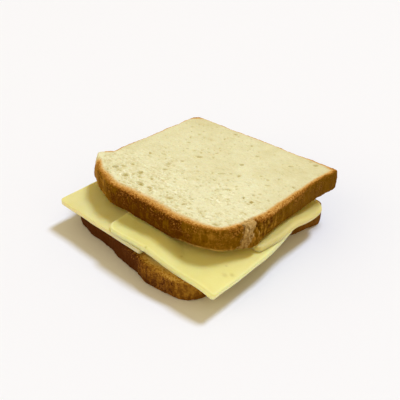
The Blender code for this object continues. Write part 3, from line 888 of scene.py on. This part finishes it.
# The front slice starts on top of the left one, comes down past its edge and hangs over the
# bread's right side and front corner
frontCheese = {
    "node": "cheese_front", "slot": "cheese_front", "seed": 32,
    "corners": [(54.2, 8.0, 6.0), (-14.0, 1.0, 3.0), (-12.4, -63.1, 7.0), (58.7, -61.2, 2.0),
                (58.5, -19.4, 60.0), (57.3, -8.7, 30.0)],
    "dropStart": 14.6, "frontDrop": 24.0, "innerDrop": 7.0, "pressedFrom": (-58.0, -40.0),
    "overhangStart": 45.0, "droop": 0.012, "held": 0.8, "heldFrom": (-45.0, 2.0),
    "edgeRadius": 0.8, "extra": 0.5, "paleAndLitBand": 0.6, "paleAndLitWidth": 1.9, "underShare": 0.0,
    "face": (235, 226, 143), "cloud": (230, 219, 134), "edge": (250, 245, 178),
    # soft hollows and swells of the face: x, y, radius and height
    "bumps": [(-9.0, -55.0, 9.0, -1.0), (3.0, -52.0, 7.0, -0.5), (16.0, -54.0, 7.0, 0.5),
              (40.0, -50.0, 8.0, -0.6)],
    # dents with a stain: x, y, radius, depth and darkness
    "marks": [(16.6, -61.6, 0.5, 0.4, 0.6), (31.0, -52.9, 0.7, 0.15, 0.4),
              (55.4, -45.2, 0.9, 0.3, 0.4), (53.6, -48.0, 1.2, 0.25, 0.25),
              (50.5, -43.0, 0.5, 0.2, 0.4)],
}

# The right slice lies on the front one and comes down behind it, where its outer edge bends
rightCheese = {
    "node": "cheese_right", "slot": "cheese_right", "seed": 33,
    "corners": [(55.6, 34.0, 7.0), (23.0, 35.0, 2.0), (23.0, -24.5, 2.0), (55.6, -25.0, 3.0),
                (57.5, -10.0, 30.0), (56.4, 8.0, 60.0)],
    "drop": 2.32, "dropY": (3.0, 24.0), "edgeStart": 50.0, "bend": 0.025, "bendY": (2.0, 16.0),
    "edgeRadius": 1.5, "extra": 0.45, "paleAndLitBand": 0.85, "paleAndLitWidth": 3.0, "underShare": 0.6,
    # its colours are darker than the other slices', as painted shade under the upper slice's
    # overhang
    "face": (213, 198, 110), "cloud": (207, 189, 104), "edge": (226, 211, 144),
    "bumps": [], "marks": [],
}


def leftHeight(x, y):
    own = leftCheese
    curl = own["curl"] * easeStep(x, *own["curlX"]) * easeStep(y, *own["curlY"])
    return cheeseSheet["onBread"] + curl


def overhangDroop(x, y):
    own = frontCheese
    freedom = 1 - own["held"] * easeStep(y, *own["heldFrom"])
    return own["droop"] * freedom * np.maximum(x - own["overhangStart"], 0) ** 2


def frontHeight(x, y):
    own = frontCheese
    shorter = own["innerDrop"] - own["frontDrop"]
    length = own["frontDrop"] + shorter * easeStep(y, *own["pressedFrom"])
    step = cheeseSheet["thickness"] + cheeseSheet["gap"]
    drop = step * easeStep(x, own["dropStart"], own["dropStart"] + length)
    return cheeseSheet["onCheese"] - drop - overhangDroop(x, y)


def rightHeight(x, y):
    own = rightCheese
    drop = own["drop"] * easeStep(y, *own["dropY"])
    bend = own["bend"] * np.maximum(x - own["edgeStart"], 0) ** 2 * easeStep(y, *own["bendY"])
    return cheeseSheet["onCheese"] - drop - bend - overhangDroop(x, y)


# A slice of cheese: a slab with nearly sharp edges, laid on its height function and bent with
# it, so that each point sits along the surface's normal. Its edges and faces wave a little.
def cheesePiece(name, own, height):
    sheet = cheeseSheet
    loop, outward = roundedLoop(own["corners"], (0, 1, 2, 3), sheet["cells"])
    seed = own["seed"]
    flatLoop = np.column_stack([loop, np.full(len(loop), seed * sheet["seedAway"])])
    swell = layeredNoise(flatLoop, sheet["edgeWaves"], seed)
    loop = loop + outward * (swell - sheet["inset"])[:, None]
    thickness = sheet["thickness"] + own["extra"]
    rows = edgeRows(thickness, own["edgeRadius"], sheet["lowRadius"], 0.0, sheet["arcSteps"],
                    sheet["wallSteps"])
    shape = slab(loop, outward, rows, np.zeros(len(loop)), sheet["cells"], 0.4)
    points, push = shape["points"], shape["push"]
    x, y, above = points.T
    flatPoints = np.column_stack([x, y, 0 * x + seed * sheet["seedAway"]])
    wave = layeredNoise(flatPoints, sheet["faceWaves"], seed + 5)
    base = height(x, y) - own["extra"]
    start, end = sheet["upperFrom"]
    upper = easeStep(above, start * thickness, end * thickness)
    for *middle, radius, size in own["bumps"]:
        wave = wave + size * softSpot(x, y, *middle, radius) * upper
    mark = np.zeros(len(points))
    for *middle, radius, depth, dark in own["marks"]:
        dent = softSpot(x, y, *middle, radius) * upper
        wave = wave - depth * dent
        mark = np.maximum(mark, dark * dent)
    step = sheet["slopeStep"]
    slopeX = (height(x + step, y) - height(x - step, y)) / (2 * step)
    slopeY = (height(x, y + step) - height(x, y - step)) / (2 * step)
    normal = np.column_stack([-slopeX, -slopeY, np.ones(len(x))])
    normal /= np.linalg.norm(normal, axis=1, keepdims=True)
    moved = np.column_stack([x, y, base + wave]) + normal * above[:, None]
    moved[:, :2] += shift
    rim, upward = shape["rim"], push[:, 2]
    # the cut faces and a band of the upper face along the edge take the edge colour: the cut's own
    # paleness and painted light on the edges
    cut = easeStep(-upward, *sheet["cutSlope"]) * easeStep(-rim, *sheet["cutDepth"])
    paleAndLitShare = own["paleAndLitBand"] * easeStep(-rim, -own["paleAndLitWidth"], 0)
    cut = np.maximum(cut, np.where(upward > 0, paleAndLitShare, 0))
    material = cheeseMaterial(name, {**cheeseLook, **own})
    low = own["underShare"] * easeStep(-above, *sheet["lowHeight"])
    attributes = {"cut": cut, "mark": mark, "low": low}
    meshPiece(name, moved, shape["faces"], attributes, material, own["node"])


cheesePiece("left_cheese", leftCheese, leftHeight)
cheesePiece("front_cheese", frontCheese, frontHeight)
cheesePiece("right_cheese", rightCheese, rightHeight)
print("cheese made")


# Floor, light and camera

studio = {
    "floorSize": 16.0, "backdrop": (0.93, 0.92, 0.91, 1.0), "floorColour": (0.9, 0.9, 0.9, 1.0),
    "skyStrength": 0.57, "skyColour": (1.0, 0.83, 0.5, 1.0),
    # each lamp's azimuth, elevation, width, strength and colour
    "window": (0.0, 56.4, 14.8, 1.74, (0.97, 1.15, 1.57)),
    "reflector": (212.0, 24.0, 60.0, 0.45, (1.0, 0.84, 0.55)),
}

# the view is measured in millimetres from the middle of the upper slice, as the bread is
viewpoint = {
    "aim": (-17.23, 12.65, -4.6), "distance": 348.53, "azimuth": 42.64, "elevation": 31.88,
    "roll": 0.71, "lens": 51.77, "sensor": 36.0,
}


def makeFloor():
    half = studio["floorSize"] / 2
    mesh = bpy.data.meshes.new("floor")
    corners = [(-half, -half, 0), (half, -half, 0), (half, half, 0), (-half, half, 0)]
    mesh.from_pydata(corners, [], [(0, 1, 2, 3)])
    material, tree = newMaterial("pale_floor")
    shader = tree.nodes["Principled BSDF"]
    shader.inputs["Base Color"].default_value = studio["floorColour"]
    shader.inputs["Roughness"].default_value = 0.9
    mesh.materials.append(material)
    addObject("floor", mesh)


def makeLamp(name, azimuth, elevation, width, strength, colour):
    light = bpy.data.lights.new(name, "SUN")
    light.energy = strength
    light.angle = np.radians(width)
    light.color = colour
    lamp = addObject(name, light)
    turn, rise = np.radians([azimuth, elevation])
    towards = Vector((np.sin(turn) * np.cos(rise), np.cos(turn) * np.cos(rise), np.sin(rise)))
    lamp.rotation_euler = towards.to_track_quat("Z", "Y").to_euler()


def makeLight():
    for name in ("window", "reflector"):
        makeLamp(name, *studio[name])
    world = bpy.data.worlds.new("studio")
    world.use_nodes = True
    tree = world.node_tree
    sky = tree.nodes["Background"]
    sky.inputs["Color"].default_value = studio["skyColour"]
    sky.inputs["Strength"].default_value = studio["skyStrength"]
    # beyond the floor the view ends in a plain pale backdrop that lights nothing
    pale = addNode(tree, "ShaderNodeBackground", {"Color": studio["backdrop"]})
    seen = addNode(tree, "ShaderNodeLightPath").outputs["Is Camera Ray"]
    both = addNode(tree, "ShaderNodeMixShader", {0: seen, 1: sky.outputs[0], 2: pale.outputs[0]})
    tree.links.new(both.outputs[0], tree.nodes["World Output"].inputs["Surface"])
    bpy.context.scene.world = world


def makeCamera():
    own = viewpoint
    turn, rise, roll = (np.radians(own[key]) for key in ("azimuth", "elevation", "roll"))
    back = Vector((np.sin(turn) * np.cos(rise), -np.cos(turn) * np.cos(rise), np.sin(rise)))
    right = Vector((np.cos(turn), np.sin(turn), 0))
    up = back.cross(right)
    level = Matrix((right, up, back)).transposed()
    data = bpy.data.cameras.new("view")
    data.lens = own["lens"]
    data.sensor_width = own["sensor"]
    data.clip_start = 0.01
    camera = addObject("view", data)
    place = Vector(own["aim"]) + back * own["distance"] + Vector((*shift, 0))
    camera.matrix_world = Matrix.Translation(place * mm) @ (
        level @ Matrix.Rotation(roll, 3, "Z")).to_4x4()
    bpy.context.scene.camera = camera


makeFloor()
makeLight()
makeCamera()
bpy.context.scene.view_settings.view_transform = "Standard"
print("floor, light and camera made")

bpy.context.view_layer.update()
